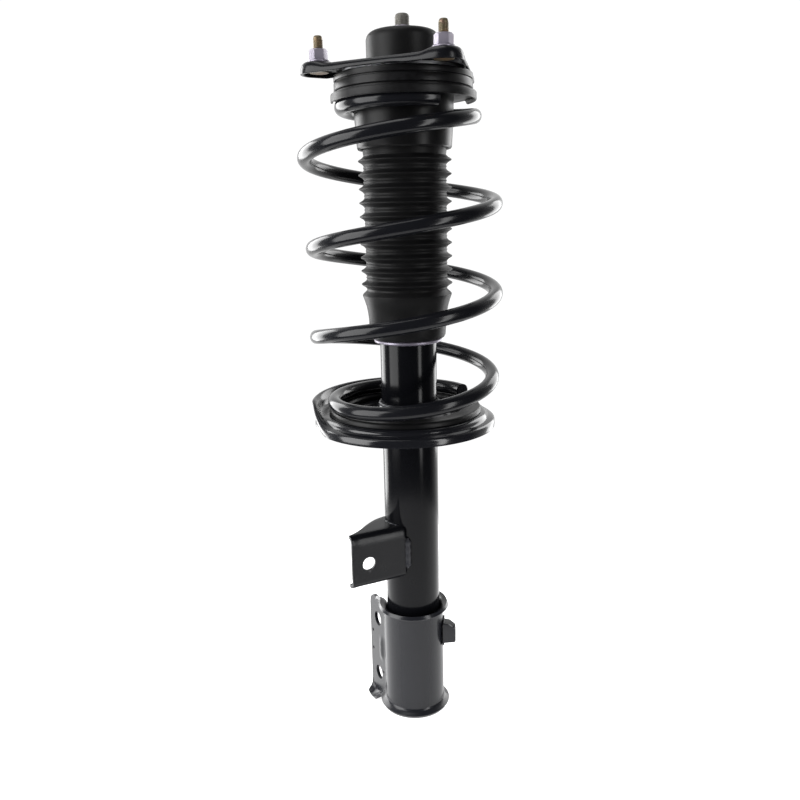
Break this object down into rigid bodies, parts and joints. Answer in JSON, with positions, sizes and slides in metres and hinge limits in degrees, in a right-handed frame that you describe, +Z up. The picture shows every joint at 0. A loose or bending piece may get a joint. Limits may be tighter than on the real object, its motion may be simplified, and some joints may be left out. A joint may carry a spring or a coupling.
{
  "type": "MacPherson strut assembly",
  "caption": "Complete MacPherson strut with coil spring, three-stud top mount, ribbed dust boot, clevis knuckle bracket and link bracket, gloss black.",
  "frame": {"origin": "on the strut axis, in the plane of the tower contact pads around the three studs", "axes": "+Z up along the piston rod, +X toward the steering knuckle the lower ears reach for, +Y along the knuckle bolts toward the stabiliser link bracket"},
  "size_m": [0.1785, 0.1734, 0.6375],
  "materials": {
    "black_paint": "gloss black coating",
    "black_rubber": "matt black rubber",
    "foam": "cellular polyurethane bumper",
    "seat_plastic": "satin black glass-filled nylon",
    "steel": "plain machined steel",
    "bright_zinc": "bright blue-white zinc plating",
    "yellow_zinc": "yellow-passivated zinc plating over steel",
    "chrome_rod": "hard chrome, ground",
    "stop_plastic": "filled polymer"
  },
  "bodies": {
    "top_mount": {"mount_plate": "black_paint", "mount_hat": "black_rubber", "mount_rubber": "black_rubber", "mount_core": "steel", "tower_studs": "yellow_zinc", "stud_washers": "bright_zinc", "tower_nuts": "bright_zinc", "rod_nut": "bright_zinc", "piston_rod": "chrome_rod", "bump_stop_cup": "steel", "bump_stop": "foam", "rebound_stop": "stop_plastic", "piston": "steel", "piston_band": "stop_plastic", "piston_nut": "steel", "bearing_upper_race": "steel"},
    "spring_seat": {"bearing_lower_race": "steel", "bearing_balls": "chrome_rod", "upper_spring_seat": "seat_plastic", "upper_spring_pad": "black_rubber", "coil_spring": "black_paint", "dust_boot": "black_rubber"},
    "strut_body": {"strut_tube": "black_paint", "tube_cap": "bright_zinc", "rod_guide": "steel", "oil_seal": "black_rubber", "inner_cylinder": "steel", "base_valve": "steel", "base_cup": "black_paint", "lower_spring_seat": "black_paint", "lower_spring_pad": "black_rubber", "knuckle_bracket": "black_paint", "bracket_stiffener": "black_paint", "sway_link_bracket": "black_paint", "hose_bracket": "black_paint", "weld_beads": "black_paint"}
  },
  "joints": [
    {"name": "bearing_swivel", "type": "hinge", "parent": "top_mount", "child": "spring_seat", "pos_m": [0, 0, 0], "axis": [0, 0, 1], "continuous": true},
    {"name": "damper_stroke", "type": "slide", "parent": "spring_seat", "child": "strut_body", "axis": [0, 0, 1], "range_m": [0, 0.09], "stiffness_N_per_m": 28000, "springref_m": -0.06, "deforming": ["coil_spring", "dust_boot"]}
  ]
}
